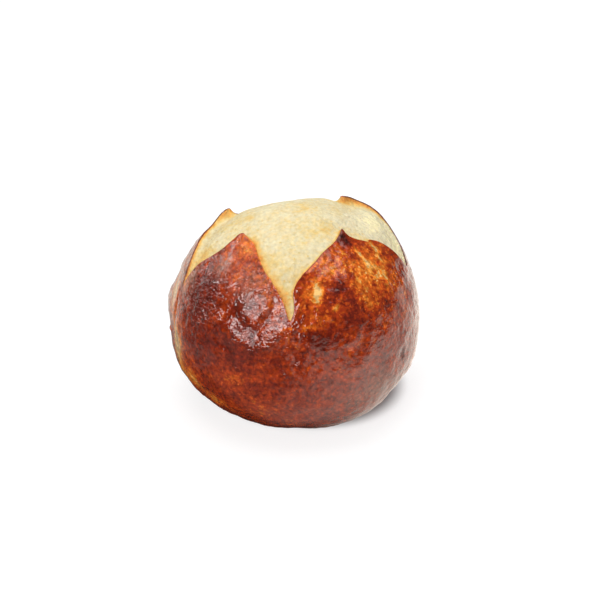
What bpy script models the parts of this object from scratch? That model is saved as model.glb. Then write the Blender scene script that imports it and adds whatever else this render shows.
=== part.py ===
"""A round pretzel roll whose cross cut has opened in the oven.

Four dark crust petals with curled tips stand round a pale, domed star of crumb. The roll is one piece of
bread, so it is one solid. It stands on its flat base at z = 0, with +Z up, and one arm of the star points
along -Y, its front. Lengths are metres and angles are degrees: azimuths run from +X towards +Y, and polar
angles start at the vertical, seen from the middle of the widest level.
"""

import math
from collections import namedtuple

import bpy
import numpy as np
from mathutils import Vector, noise

NODE = "pretzel_roll"
MM = 0.001

# Driving dimensions of the loaf
GIRTH_RADIUS = 43.0 * MM  # half the width at the widest level
GIRTH_HEIGHT = 22.3 * MM  # the widest level above the floor
CROWN_RISE = 43.2 * MM  # from the widest level up to the top of the loaf's form
BASE_RADIUS = 29.0 * MM  # half the width of the lower profile where the floor cuts it
CROWN_FULLNESS = 2.5  # superellipse power of the upper profile, 2 is an ellipse
BELLY_FULLNESS = 1.95  # the same for the lower profile
BASE_ROUNDING = 0.8 * MM  # softens the edge between belly and base
BASE_INSET = 4.0 * MM  # from that level's edge in to the rim of the flat

# How the loaf departs from a turned shape
Lobes = namedtuple("Lobes", "count azimuth share")
OUT_OF_ROUND = (Lobes(2, 8.0, 0.010), Lobes(3, 60.0, 0.008))
LEAN_SHARE = 0.012  # one shoulder is fuller than the one across from it
LEAN_AZIMUTH = 150.0
Lumps = namedtuple("Lumps", "wavelength height")
LUMPS = (Lumps(30.0 * MM, 1.0 * MM), Lumps(13.0 * MM, 0.45 * MM))
Swelling = namedtuple("Swelling", "azimuth polar radius height")
SWELLINGS = (
    Swelling(38.0, 42.0, 15.0 * MM, 2.4 * MM),  # the full back right shoulder
    Swelling(118.0, 33.0, 13.0 * MM, -2.2 * MM),  # the back left is lower
    Swelling(178.0, 74.0, 6.0 * MM, 1.3 * MM),  # a flap below the left arm's end
    Swelling(33.0, 38.0, 6.0 * MM, 0.9 * MM),  # a shallow one behind the back right tip
    Swelling(-120.0, 122.0, 16.0 * MM, 0.6 * MM),  # the belly is fuller at the front left
    Swelling(-28.0, 108.0, 18.0 * MM, -0.9 * MM),  # and flatter at the right
    Swelling(-5.0, 91.0, 6.0 * MM, -0.9 * MM),  # with two dents
    Swelling(-28.0, 107.0, 4.5 * MM, -2.0 * MM),
)

# The star: where each cut ends
Arm = namedtuple("Arm", "azimuth polar")
ARMS = {
    "front": Arm(-93.6, 57.2),
    "right": Arm(-3.6, 54.9),
    "back": Arm(88.0, 57.0),
    "left": Arm(198.7, 60.7),
}
END_LIP = 0.3 * MM  # height of the crust's rim where two edges meet in an arm's end
END_FADE = 6.0 * MM  # the rim drops to that over this distance

# The petals: the place of each tip, its extra height and how far that reaches, the height of the rim along
# the torn edges, and that of the ridge that runs down from the tip. The ridge sweeps sideways by so many
# degrees for each one down.
Petal = namedtuple("Petal", "azimuth distance curl curl_width lip ridge sweep")
PETALS = {
    "front_right": Petal(-39.8, 17.1 * MM, 2.2 * MM, 3.6 * MM, 1.0 * MM, 0.5 * MM, -0.6),
    "back_right": Petal(46.0, 21.0 * MM, 1.5 * MM, 6.0 * MM, 1.0 * MM, 0.6 * MM, 0.3),
    "back_left": Petal(151.0, 26.0 * MM, 2.0 * MM, 5.5 * MM, 1.2 * MM, 0.6 * MM, -0.3),
    "front_left": Petal(217.6, 20.6 * MM, 1.6 * MM, 3.6 * MM, 0.9 * MM, 1.1 * MM, 0.6),
}
LIP_WIDTH = 3.2 * MM
LIP_ROUNDING = 0.5 * MM
RIDGE_WIDTH = 4.2 * MM
RIDGE_ROUNDING = 0.8 * MM
RIDGE_REACH = 82.0  # the polar angle where the ridges have faded

# The torn edges in order round the star, from petal tip to arm end or back. Each strays from the straight
# line between the two by these distances in millimetres, at these shares of the way from the tip. A positive
# one is further into the petal.
Edge = namedtuple("Edge", "petal arm from_tip strays")
EDGES = (
    Edge("front_right", "front", False, ((0.06, 0.55), (0.18, 0.9), (0.33, 0.4), (0.54, -0.3), (0.68, -1.4),
                                         (0.79, -2.0), (0.85, -1.75), (0.90, -0.7), (0.955, 0.2))),
    Edge("front_right", "right", True, ((0.036, 1.5), (0.10, 2.2), (0.23, 2.35), (0.33, 2.55), (0.365, 2.6),
                                        (0.385, 1.35), (0.41, 1.2), (0.51, 1.0), (0.59, 1.05), (0.70, 1.35),
                                        (0.81, 1.6), (0.90, 1.6))),
    Edge("back_right", "right", False, ((0.03, 1.9), (0.06, 3.3), (0.10, 4.3), (0.19, 4.8), (0.37, 4.8),
                                        (0.56, 4.1), (0.75, 3.2), (0.87, 2.2))),
    Edge("back_right", "back", True, ((0.06, 0.0), (0.15, 1.5), (0.30, 3.4), (0.42, 3.0), (0.55, 3.6),
                                      (0.75, 1.9))),
    Edge("back_left", "back", False, ((0.03, 0.3), (0.08, 1.8), (0.13, 3.2), (0.20, 4.4), (0.35, 5.7),
                                      (0.6, 5.2), (0.8, 2.6))),
    Edge("back_left", "left", True, ((0.03, 0.9), (0.06, 1.8), (0.15, 2.5), (0.34, 2.6), (0.50, 1.5),
                                     (0.64, 0.4), (0.80, -0.2))),
    Edge("front_left", "left", False, ((0.10, -0.8), (0.19, -0.6), (0.26, 0.0), (0.39, 1.0), (0.51, 1.3),
                                       (0.69, 0.3))),
    Edge("front_left", "front", True, ((0.07, -0.1), (0.145, -0.5), (0.22, -0.1), (0.33, 0.8), (0.50, 1.6),
                                       (0.72, 1.0), (0.91, 0.45), (0.975, 0.5))),
)

# The crumb
DOME_RISE = 3.6 * MM  # it swells above the loaf's form at the centre
DOME_RADIUS = 20.0 * MM
CRUMB_SINK = 0.9 * MM  # and lies below it along the torn edges
SINK_WIDTH = 3.0 * MM

# Mesh density
COLUMNS = 144
DENSE_STEPS = 400  # each torn edge is measured in so many steps
CRUMB_RINGS = 12
UPPER_RINGS = 15
LOWER_RINGS = 10
RING_CROWDING = 1.2  # the rings lie closer together near the torn edges, 1 is even
FOOT_SHARE = 0.975  # the foot of the torn edge is this near to the rim, seen from the middle
SHARP_EDGE = 50.0

CRUST_COLOUR = (0.27, 0.065, 0.022, 1.0)
CRUST_ROUGHNESS = 0.35
CRUMB_COLOUR = (0.86, 0.70, 0.42, 1.0)
CRUMB_ROUGHNESS = 0.85


def belly_drop():
    """Depth of the full lower profile, such that it is BASE_RADIUS wide where the floor cuts it."""
    share = (BASE_RADIUS / GIRTH_RADIUS) ** BELLY_FULLNESS
    return GIRTH_HEIGHT / (1.0 - share) ** (1.0 / BELLY_FULLNESS)


def profile_radius(polar):
    """Distance from the middle of the widest level to the turned form, this far from the vertical."""
    across, up = np.abs(np.sin(polar)), np.abs(np.cos(polar))
    upper = (across / GIRTH_RADIUS) ** CROWN_FULLNESS + (up / CROWN_RISE) ** CROWN_FULLNESS
    lower = (across / GIRTH_RADIUS) ** BELLY_FULLNESS + (up / belly_drop()) ** BELLY_FULLNESS
    return np.where(polar < math.pi / 2, upper ** (-1 / CROWN_FULLNESS), lower ** (-1 / BELLY_FULLNESS))


def crown_height(distance):
    """Height of the turned form over its widest level at this distance from the axis."""
    share = np.clip(distance / GIRTH_RADIUS, 0.0, 1.0)
    return CROWN_RISE * (1.0 - share**CROWN_FULLNESS) ** (1.0 / CROWN_FULLNESS)


def direction(polar, azimuth):
    level = np.sin(polar)
    return np.stack([level * np.cos(azimuth), level * np.sin(azimuth), np.cos(polar)], axis=-1)


def turned_form(polar, azimuth):
    return direction(polar, azimuth) * profile_radius(polar)[..., None]


def noise_at(points, lumps):
    flat = points.reshape(-1, 3) / lumps.wavelength
    return lumps.height * np.array([noise.noise(Vector(p)) for p in flat]).reshape(points.shape[:-1])


def swellings_at(points):
    total = np.zeros(points.shape[:-1])
    for swelling in SWELLINGS:
        centre = turned_form(np.radians(swelling.polar), np.radians(swelling.azimuth))
        apart = np.linalg.norm(points - centre, axis=-1)
        total = total + swelling.height * np.exp(-((apart / swelling.radius) ** 2))
    return total


def soft_floor(height):
    """Keeps the heights above 0 and eases them towards it."""
    return 0.5 * (height + np.sqrt(height**2 + BASE_ROUNDING**2))


def loaf_points(polar, azimuth, offset):
    """The loaf's outside along each direction, moved outwards by offset."""
    radius = profile_radius(polar)
    for lobes in OUT_OF_ROUND:
        turn = lobes.count * (azimuth - math.radians(lobes.azimuth))
        radius = radius * (1 + lobes.share * np.sin(polar) * np.cos(turn))
    shoulder = np.sin(2 * np.minimum(polar, math.pi / 2)) * np.cos(azimuth - math.radians(LEAN_AZIMUTH))
    radius = radius * (1 + LEAN_SHARE * shoulder)
    outward = direction(polar, azimuth)
    points = outward * radius[..., None]
    offset = offset + swellings_at(points)
    for lumps in LUMPS:
        offset = offset + noise_at(points, lumps)
    points = points + outward * offset[..., None]
    points[..., 2] = soft_floor(points[..., 2] + GIRTH_HEIGHT)
    return points


def plan_point(azimuth, distance):
    turn = math.radians(azimuth)
    return np.array([math.cos(turn), math.sin(turn)]) * distance


def tip_and_end(edge):
    petal, arm = PETALS[edge.petal], ARMS[edge.arm]
    polar = math.radians(arm.polar)
    end = plan_point(arm.azimuth, float(profile_radius(np.array(polar))) * math.sin(polar))
    return plan_point(petal.azimuth, petal.distance), end


def smooth_through(knots, share):
    """The smooth curve through the knots, and 0 at both ends, which doesn't overshoot between them."""
    places, heights = (np.array(values) for values in zip((0.0, 0.0), *knots, (1.0, 0.0)))
    steps = np.diff(places)
    climbs = np.diff(heights) / steps
    before, after = climbs[:-1], climbs[1:]
    same_way = before * after > 0
    mean = np.where(same_way, 2 * before * after / np.where(same_way, before + after, 1.0), 0.0)
    slopes = np.concatenate([climbs[:1], mean, climbs[-1:]])
    piece = np.clip(np.searchsorted(places, share, side="right") - 1, 0, len(steps) - 1)
    part = (share - places[piece]) / steps[piece]
    climb = climbs[piece]
    bulge = (1 - part) * (slopes[piece] - climb) - part * (slopes[piece + 1] - climb)
    return heights[piece] + part * steps[piece] * (climb + (1 - part) * bulge)


def edge_at(edge, share):
    """Points of a torn edge seen from above, at these shares of the way from its tip."""
    tip, end = tip_and_end(edge)
    along = end - tip
    side = 1 if edge.from_tip else -1
    outward = side * np.array([along[1], -along[0]]) / np.hypot(*along)
    stray = smooth_through(edge.strays, share) * MM
    return tip + along * share[:, None] + outward * stray[:, None]


def edge_plan(edge, steps):
    """Evenly spaced points of one torn edge seen from above, without its last one, and their shares."""
    dense = np.linspace(0.0, 1.0, DENSE_STEPS)
    gaps = np.linalg.norm(np.diff(edge_at(edge, dense), axis=0), axis=1)
    run = np.concatenate([[0.0], np.cumsum(gaps)])
    way = np.arange(steps) / steps
    if not edge.from_tip:
        way = 1 - way
    share = np.interp(way * run[-1], run, dense)
    return edge_at(edge, share), share


def star_outline():
    """The star's outline from above, and the height of the crust's rim along it."""
    lengths = [math.dist(*tip_and_end(edge)) for edge in EDGES]
    plan, lips = [], []
    for edge, length in zip(EDGES, lengths):
        points, share = edge_plan(edge, round(COLUMNS * length / sum(lengths)))
        lip = PETALS[edge.petal].lip
        plan.append(points)
        lips.append(lip + (END_LIP - lip) * np.exp(-(1 - share) * length / END_FADE))
    return np.concatenate(plan), np.concatenate(lips)


def angles_of(plan):
    """Polar angle and azimuth of points that are given from above."""
    distance = np.hypot(plan[..., 0], plan[..., 1])
    return np.arctan2(distance, crown_height(distance)), np.arctan2(plan[..., 1], plan[..., 0])


def crust_offset(polar, azimuth, outline, lips):
    """The crust's height over the loaf's form: raised along its rim, and most at the tips."""
    points = turned_form(polar, azimuth)
    apart = np.linalg.norm(points[..., None, :] - turned_form(*angles_of(outline)), axis=-1)
    total = lips[apart.argmin(axis=-1)] * np.exp(-apart.min(axis=-1) / LIP_WIDTH)
    for petal in PETALS.values():
        tip = turned_form(*angles_of(plan_point(petal.azimuth, petal.distance)))
        from_tip = np.linalg.norm(points - tip, axis=-1)
        total = total + petal.curl * np.exp(-((from_tip / petal.curl_width) ** 2))
    return total + ridges_at(polar, azimuth)


def ridges_at(polar, azimuth):
    """Height of the ridges that run down the petals from their tips."""
    total = np.zeros(polar.shape)
    distance = profile_radius(polar) * np.sin(polar)
    for petal in PETALS.values():
        start = angles_of(plan_point(petal.azimuth, petal.distance))[0]
        below = polar - start
        turned = azimuth - math.radians(petal.azimuth) - petal.sweep * below
        apart = np.abs(np.angle(np.exp(1j * turned))) * distance
        fade = np.clip(1 - below / (math.radians(RIDGE_REACH) - start), 0.0, 1.0)
        apart = np.hypot(apart, RIDGE_ROUNDING) - RIDGE_ROUNDING
        total = total + petal.ridge * np.exp(-apart / RIDGE_WIDTH) * fade
    return total


def crumb_offset(plan, outline):
    """The crumb's height over the loaf's form, at points that are given from above."""
    gap = np.linalg.norm(plan[:, :, None] - outline, axis=-1).min(axis=-1)
    centre = np.hypot(plan[..., 0], plan[..., 1])
    return DOME_RISE * np.exp(-((centre / DOME_RADIUS) ** 2)) - CRUMB_SINK * np.exp(-gap / SINK_WIDTH)


def crumb_rings(outline):
    """Rings of the star's surface, from the one next to the centre to the foot of the torn edge."""
    inner = 1 - (1 - np.arange(1, CRUMB_RINGS + 1) / (CRUMB_RINGS + 1)) ** RING_CROWDING
    shares = np.append(inner, FOOT_SHARE)
    plan = outline * shares[:, None, None]
    polar, azimuth = angles_of(plan)
    return loaf_points(polar, azimuth, crumb_offset(plan, outline))


def crust_rings(outline, lips):
    """Rings of the crust, from the rim of the torn edge down to the edge of the base."""
    polar, azimuth = angles_of(outline)
    azimuth = np.unwrap(azimuth)
    even = np.arange(len(azimuth)) * 2 * math.pi / len(azimuth)
    even = even + (azimuth - even).mean()
    rim = crust_offset(polar, azimuth, outline, lips)
    rings = [loaf_points(polar, azimuth, rim - LIP_ROUNDING)]
    first = LIP_ROUNDING / (GIRTH_RADIUS * math.pi / 4)  # the share of the way to the widest level, about
    shares = first + (1 - first) * (np.arange(UPPER_RINGS + 1) / UPPER_RINGS) ** RING_CROWDING
    for share in shares:
        here = polar + (math.pi / 2 - polar) * share
        turned = azimuth + (even - azimuth) * share
        rings.append(loaf_points(here, turned, crust_offset(here, turned, outline, lips)))
    base = math.pi - math.atan2(BASE_RADIUS - BASE_INSET, GIRTH_HEIGHT)
    for share in np.arange(1, LOWER_RINGS + 1) / LOWER_RINGS:
        here = np.full(len(even), math.pi / 2 + (base - math.pi / 2) * share)
        rings.append(loaf_points(here, even, crust_offset(here, even, outline, lips)))
    rings[-1][:, 2] = 0.0
    return np.array(rings)


def loaf_mesh():
    """The closed mesh of the loaf, with the crust in material slot 0 and the crumb in slot 1."""
    outline, lips = star_outline()
    crumb = crumb_rings(outline)
    crust = crust_rings(outline, lips)
    centre = loaf_points(np.zeros(1), np.zeros(1), np.full(1, DOME_RISE))
    rings = np.concatenate([crumb, crust])
    count = rings.shape[1]
    vertices = np.concatenate([centre, rings.reshape(-1, 3)])
    middle = (vertices.min(axis=0) + vertices.max(axis=0)) / 2
    vertices[:, :2] -= middle[:2]
    faces = [(0, 1 + i, 1 + (i + 1) % count) for i in range(count)]
    for ring in range(len(rings) - 1):
        first = 1 + ring * count
        for i in range(count):
            j = (i + 1) % count
            faces.append((first + i, first + count + i, first + count + j, first + j))
    last = 1 + (len(rings) - 1) * count
    faces.append(tuple(last + i for i in reversed(range(count))))
    mesh = bpy.data.meshes.new(NODE)
    mesh.from_pydata(vertices.tolist(), [], faces)
    crumb_faces = count * len(crumb)
    mesh.polygons.foreach_set("material_index", [1] * crumb_faces + [0] * (len(faces) - crumb_faces))
    return mesh


def material(name, colour, roughness):
    made = bpy.data.materials.new(name)
    made.use_nodes = True
    shader = made.node_tree.nodes["Principled BSDF"]
    shader.inputs["Base Color"].default_value = colour
    shader.inputs["Roughness"].default_value = roughness
    shader.inputs["Metallic"].default_value = 0.0
    return made


def main():
    for obj in list(bpy.data.objects):
        bpy.data.objects.remove(obj, do_unlink=True)
    mesh = loaf_mesh()
    mesh.materials.append(material("crust", CRUST_COLOUR, CRUST_ROUGHNESS))
    mesh.materials.append(material("crumb", CRUMB_COLOUR, CRUMB_ROUGHNESS))
    mesh.shade_smooth()
    mesh.set_sharp_from_angle(angle=math.radians(SHARP_EDGE))
    roll = bpy.data.objects.new(NODE, mesh)
    bpy.context.scene.collection.objects.link(roll)


main()
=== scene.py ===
"""The looks of the pretzel roll: its glossy, wrinkled crust, and the pale crumb in the star-shaped cut.

Both pieces follow the solid's form, which the functions below work out again from the same named sizes,
and add the relief that is too fine for the solid. The named sizes are in metres and degrees, unless a
name says otherwise, and the functions take radians. Azimuths run from +X towards +Y, and polar angles
start at the vertical, seen from the middle of the widest level.
"""

import math
import random
from collections import namedtuple

import bpy
import numpy as np
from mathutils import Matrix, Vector, kdtree, noise


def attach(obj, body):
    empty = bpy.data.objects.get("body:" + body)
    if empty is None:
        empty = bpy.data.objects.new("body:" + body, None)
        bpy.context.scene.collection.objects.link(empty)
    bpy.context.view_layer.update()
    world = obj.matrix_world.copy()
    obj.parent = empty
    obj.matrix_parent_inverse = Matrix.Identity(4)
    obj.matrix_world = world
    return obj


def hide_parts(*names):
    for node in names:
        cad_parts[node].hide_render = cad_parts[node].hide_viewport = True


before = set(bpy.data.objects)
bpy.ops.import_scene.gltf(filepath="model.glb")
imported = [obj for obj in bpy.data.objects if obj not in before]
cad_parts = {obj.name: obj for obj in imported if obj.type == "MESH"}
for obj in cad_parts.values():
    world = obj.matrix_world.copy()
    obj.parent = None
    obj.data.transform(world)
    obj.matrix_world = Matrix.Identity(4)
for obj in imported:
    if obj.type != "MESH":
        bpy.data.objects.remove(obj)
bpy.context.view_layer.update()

NODE = "pretzel_roll"
SEED = 7
MM = 0.001


def table(kind, lengths, rows):
    """Named rows, of which these lengths are written in millimetres."""
    made = [kind(*row) for row in rows]
    return [row._replace(**{name: getattr(row, name) * MM for name in lengths.split()}) for row in made]


# The loaf's form, as in the solid
AXIS = np.array([1.41, -0.38, 0.0]) * MM  # where the form's axis stands in the frame
GIRTH_RADIUS = 43.0 * MM
GIRTH_HEIGHT = 22.3 * MM
CROWN_RISE = 43.2 * MM
BASE_RADIUS = 29.0 * MM
CROWN_FULLNESS = 2.5
BELLY_FULLNESS = 1.95
BASE_ROUNDING = 0.8 * MM
BASE_INSET = 4.0 * MM
Lobes = namedtuple("Lobes", "count azimuth share")
OUT_OF_ROUND = (Lobes(2, 8.0, 0.010), Lobes(3, 60.0, 0.008))
LEAN_SHARE = 0.012
LEAN_AZIMUTH = 150.0
Lumps = namedtuple("Lumps", "wavelength height")
LUMPS = (Lumps(30.0 * MM, 1.0 * MM), Lumps(13.0 * MM, 0.45 * MM))
Swelling = namedtuple("Swelling", "azimuth polar radius height")
SWELLINGS = table(Swelling, "radius height", (
    (38, 42, 15, 2.4),
    (118, 33, 13, -2.2),
    (178, 74, 6, 1.3),
    (33, 38, 6, 0.9),
    (-120, 122, 16, 0.6),
    (-28, 108, 18, -0.9),
    (-5, 91, 6, -0.9),
    (-28, 107, 4.5, -2),
))

# The star and the petals, as in the solid
Arm = namedtuple("Arm", "azimuth polar")
ARMS = {
    "front": Arm(-93.6, 57.2),
    "right": Arm(-3.6, 54.9),
    "back": Arm(88.0, 57.0),
    "left": Arm(198.7, 60.7),
}
END_LIP = 0.3 * MM
END_FADE = 6.0 * MM
Petal = namedtuple("Petal", "azimuth distance curl curl_width lip ridge sweep")
PETALS = {
    "front_right": Petal(-39.8, 17.1 * MM, 2.2 * MM, 3.6 * MM, 1.0 * MM, 0.5 * MM, -0.6),
    "back_right": Petal(46.0, 21.0 * MM, 1.5 * MM, 6.0 * MM, 1.0 * MM, 0.6 * MM, 0.3),
    "back_left": Petal(151.0, 26.0 * MM, 2.0 * MM, 5.5 * MM, 1.2 * MM, 0.6 * MM, -0.3),
    "front_left": Petal(217.6, 20.6 * MM, 1.6 * MM, 3.6 * MM, 0.9 * MM, 1.1 * MM, 0.6),
}
LIP_WIDTH = 3.2 * MM
RIDGE_WIDTH = 4.2 * MM
RIDGE_ROUNDING = 0.8 * MM
RIDGE_REACH = 82.0
DOME_RISE = 3.6 * MM
DOME_RADIUS = 20.0 * MM
CRUMB_SINK = 0.9 * MM
SINK_WIDTH = 3.0 * MM

# The torn edges. Each strays from the straight line between its petal's tip and its arm's end by these
# distances in millimetres, at these shares of the way from the tip; more is further into the petal. The
# crumb's browned margin goes from its width at the tip to that at the end, with this fall. Brown is how
# brown that margin is, and burn is how dark the crust is at its rim.
Edge = namedtuple("Edge", "petal arm from_tip tip_toast end_toast fall brown burn strays")
EDGES = table(Edge, "tip_toast end_toast", (
    ("front_right", "front", False, 0.40, 0.45, 3, 0.45, 0.68,
     ((0.06, 0.55), (0.18, 0.9), (0.33, 0.4), (0.54, -0.3), (0.68, -1.4), (0.79, -2), (0.85, -1.75),
      (0.90, -0.7), (0.955, 0.2))),
    ("front_right", "right", True, 0.35, 0.50, 3, 0.50, 0.45,
     ((0.036, 1.5), (0.1, 2.2), (0.23, 2.35), (0.33, 2.55), (0.365, 2.6), (0.385, 1.35), (0.41, 1.2),
      (0.51, 1), (0.59, 1.05), (0.7, 1.35), (0.81, 1.6), (0.9, 1.6))),
    ("back_right", "right", False, 1.25, 0.10, 4, 0.54, 0.85,
     ((0.03, 1.9), (0.06, 3.3), (0.1, 4.3), (0.19, 4.8), (0.37, 4.8), (0.56, 4.1), (0.75, 3.2),
      (0.87, 2.2))),
    ("back_right", "back", True, 0.50, 0.90, 3, 0.35, 0.55,
     ((0.06, 0), (0.15, 1.5), (0.3, 3.4), (0.42, 3), (0.55, 3.6), (0.75, 1.9))),
    ("back_left", "back", False, 0.65, 0.90, 3, 0.54, 0.55,
     ((0.03, 0.3), (0.08, 1.8), (0.13, 3.2), (0.2, 4.4), (0.35, 5.7), (0.6, 5.2), (0.8, 2.6))),
    ("back_left", "left", True, 0.75, 0.28, 9, 0.50, 0.80,
     ((0.03, 0.9), (0.06, 1.8), (0.15, 2.5), (0.34, 2.6), (0.5, 1.5), (0.64, 0.4), (0.8, -0.2))),
    ("front_left", "left", False, 0.32, 0.42, 3, 0.40, 0.62,
     ((0.1, -0.8), (0.19, -0.6), (0.26, 0), (0.39, 1), (0.51, 1.3), (0.69, 0.3))),
    ("front_left", "front", True, 0.50, 1.50, 2, 0.50, 0.22,
     ((0.07, -0.1), (0.145, -0.5), (0.22, -0.1), (0.33, 0.8), (0.5, 1.6), (0.72, 1), (0.91, 0.45),
      (0.975, 0.5))),
))

# The rim, finer than in the solid
RIM_ROUNDING = 0.28 * MM
RIM_WAVER = Lumps(2.6 * MM, 0.18 * MM)
WALL_SHOWN = 0.13 * MM  # the height of crust that stands above the crumb at the torn edge
WALL_DEPTH = 3.5 * MM
FILLET_WIDTH = 0.65 * MM  # the crumb rises to the rim over about this distance
TUCK = 0.45 * MM  # the crumb's outermost ring reaches this far into the crust
BURN_BLEND = 6  # the rims' burns blend into one another over this many columns

# Mesh density
COLUMNS = 560
FINER = 4  # the outline has this many points to a column
DENSE_STEPS = 1500
UPPER_RINGS = 100
LOWER_RINGS = 48
WALL_RINGS = 3
FLOOR_RINGS = 4
CRUMB_RINGS = 120
RING_CROWDING = 1.6
CRUMB_CROWDING = 1.15
CRUMB_HUB_RISE = 6.0 * MM  # the hidden point below the crumb stands this far over the widest level


def belly_drop():
    """Depth of the full lower profile, such that it is BASE_RADIUS wide where the floor cuts it."""
    share = (BASE_RADIUS / GIRTH_RADIUS) ** BELLY_FULLNESS
    return GIRTH_HEIGHT / (1.0 - share) ** (1.0 / BELLY_FULLNESS)


def profile_radius(polar):
    """Distance from the middle of the widest level to the turned form."""
    across, up = np.abs(np.sin(polar)), np.abs(np.cos(polar))
    upper = (across / GIRTH_RADIUS) ** CROWN_FULLNESS + (up / CROWN_RISE) ** CROWN_FULLNESS
    lower = (across / GIRTH_RADIUS) ** BELLY_FULLNESS + (up / belly_drop()) ** BELLY_FULLNESS
    return np.where(polar < math.pi / 2, upper ** (-1 / CROWN_FULLNESS), lower ** (-1 / BELLY_FULLNESS))


def crown_height(distance):
    """Height of the turned form over its widest level at this distance from the axis."""
    share = np.clip(distance / GIRTH_RADIUS, 0.0, 1.0)
    return CROWN_RISE * (1.0 - share**CROWN_FULLNESS) ** (1.0 / CROWN_FULLNESS)


def direction(polar, azimuth):
    level = np.sin(polar)
    return np.stack([level * np.cos(azimuth), level * np.sin(azimuth), np.cos(polar)], axis=-1)


def turned_form(polar, azimuth):
    """Points of the turned form, seen from the middle of its widest level."""
    return direction(polar, azimuth) * profile_radius(polar)[..., None]


def angles_at(points):
    """Polar angle and azimuth of points that are seen from the middle of the widest level."""
    distance = np.hypot(points[..., 0], points[..., 1])
    return np.arctan2(distance, points[..., 2]), np.arctan2(points[..., 1], points[..., 0])


def noise_at(points, lumps):
    """Soft noise around 0 with the lumps' wavelength and height."""
    flat = points.reshape(-1, 3) / lumps.wavelength
    return lumps.height * np.array([noise.noise(Vector(p)) for p in flat]).reshape(points.shape[:-1])


def round_bump(points, centre, radius, height):
    """The height at each point of a bump, which falls smoothly over its radius."""
    apart = np.linalg.norm(points - centre, axis=-1)
    return height * np.exp(-((apart / radius) ** 2))


def swellings_at(points):
    total = np.zeros(points.shape[:-1])
    for swelling in SWELLINGS:
        centre = turned_form(np.radians(swelling.polar), np.radians(swelling.azimuth))
        total += round_bump(points, centre, swelling.radius, swelling.height)
    return total


def smooth_step(low, high, value):
    """Rises smoothly from 0 at low to 1 at high."""
    share = np.clip((value - low) / (high - low), 0.0, 1.0)
    return share * share * (3 - 2 * share)


def soft_floor(height):
    """Keeps the heights above 0 and eases them towards it."""
    return 0.5 * (height + np.sqrt(height**2 + BASE_ROUNDING**2))


def loaf_points(polar, azimuth, offset):
    """The loaf's outside along each direction, moved outwards by offset."""
    radius = profile_radius(polar)
    for lobes in OUT_OF_ROUND:
        turn = lobes.count * (azimuth - math.radians(lobes.azimuth))
        radius = radius * (1 + lobes.share * np.sin(polar) * np.cos(turn))
    shoulder = np.sin(2 * np.minimum(polar, math.pi / 2)) * np.cos(azimuth - math.radians(LEAN_AZIMUTH))
    radius = radius * (1 + LEAN_SHARE * shoulder)
    outward = direction(polar, azimuth)
    points = outward * radius[..., None]
    offset = offset + swellings_at(points)
    for lumps in LUMPS:
        offset = offset + noise_at(points, lumps)
    points = points + outward * offset[..., None]
    points[..., 2] = soft_floor(points[..., 2] + GIRTH_HEIGHT)
    return points


def plan_point(azimuth, distance):
    """A point seen from above, at this azimuth in degrees and distance from the axis."""
    turn = math.radians(azimuth)
    return np.array([math.cos(turn), math.sin(turn)]) * distance


def tip_of(petal):
    return plan_point(petal.azimuth, petal.distance)


def tip_and_end(edge):
    arm = ARMS[edge.arm]
    polar = math.radians(arm.polar)
    end = plan_point(arm.azimuth, float(profile_radius(np.array(polar))) * math.sin(polar))
    return tip_of(PETALS[edge.petal]), end


def smooth_through(knots, share):
    """The smooth curve through the knots, which doesn't overshoot between them."""
    places, heights = (np.array(values) for values in zip((0.0, 0.0), *knots, (1.0, 0.0)))
    steps = np.diff(places)
    climbs = np.diff(heights) / steps
    before, after = climbs[:-1], climbs[1:]
    same_way = before * after > 0
    mean = np.where(same_way, 2 * before * after / np.where(same_way, before + after, 1.0), 0.0)
    slopes = np.concatenate([climbs[:1], mean, climbs[-1:]])
    piece = np.clip(np.searchsorted(places, share, side="right") - 1, 0, len(steps) - 1)
    part = (share - places[piece]) / steps[piece]
    climb = climbs[piece]
    bulge = (1 - part) * (slopes[piece] - climb) - part * (slopes[piece + 1] - climb)
    return heights[piece] + part * steps[piece] * (climb + (1 - part) * bulge)


def edge_at(edge, share):
    """Points of a torn edge seen from above, at these shares of the way from its tip."""
    tip, end = tip_and_end(edge)
    along = end - tip
    side = 1 if edge.from_tip else -1
    outward = side * np.array([along[1], -along[0]]) / np.hypot(*along)
    line = tip + along * share[:, None]
    heights = crown_height(np.hypot(line[:, 0], line[:, 1]))
    waver = noise_at(np.column_stack([line, heights]), RIM_WAVER) * np.sin(math.pi * share)
    stray = smooth_through(edge.strays, share) * MM + waver
    return line + outward * stray[:, None]


def edge_plan(edge, steps):
    """Evenly spaced points of one torn edge seen from above, without its last one, and their shares."""
    dense = np.linspace(0.0, 1.0, DENSE_STEPS)
    gaps = np.linalg.norm(np.diff(edge_at(edge, dense), axis=0), axis=1)
    run = np.concatenate([[0.0], np.cumsum(gaps)])
    way = np.arange(steps) / steps
    if not edge.from_tip:
        way = 1 - way
    share = np.interp(way * run[-1], run, dense)
    return edge_at(edge, share), share


def star_outline():
    """The star's outline from above, the crust's rim height and the crumb's margin along it, and the
    number of each point's edge.
    """
    lengths = [math.dist(*tip_and_end(edge)) for edge in EDGES]
    plan, lips, toasts, edges = [], [], [], []
    for number, (edge, length) in enumerate(zip(EDGES, lengths)):
        points, share = edge_plan(edge, FINER * round(COLUMNS * length / sum(lengths)))
        lip = PETALS[edge.petal].lip
        plan.append(points)
        lips.append(lip + (END_LIP - lip) * np.exp(-(1 - share) * length / END_FADE))
        toasts.append(edge.end_toast + (edge.tip_toast - edge.end_toast) * (1 - share) ** edge.fall)
        edges.append(np.full(len(points), number))
    return np.concatenate(plan), np.concatenate(lips), np.concatenate(toasts), np.concatenate(edges)


def angles_of(plan):
    """Polar angle and azimuth of points that are given from above."""
    distance = np.hypot(plan[..., 0], plan[..., 1])
    return np.arctan2(distance, crown_height(distance)), np.arctan2(plan[..., 1], plan[..., 0])


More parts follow.
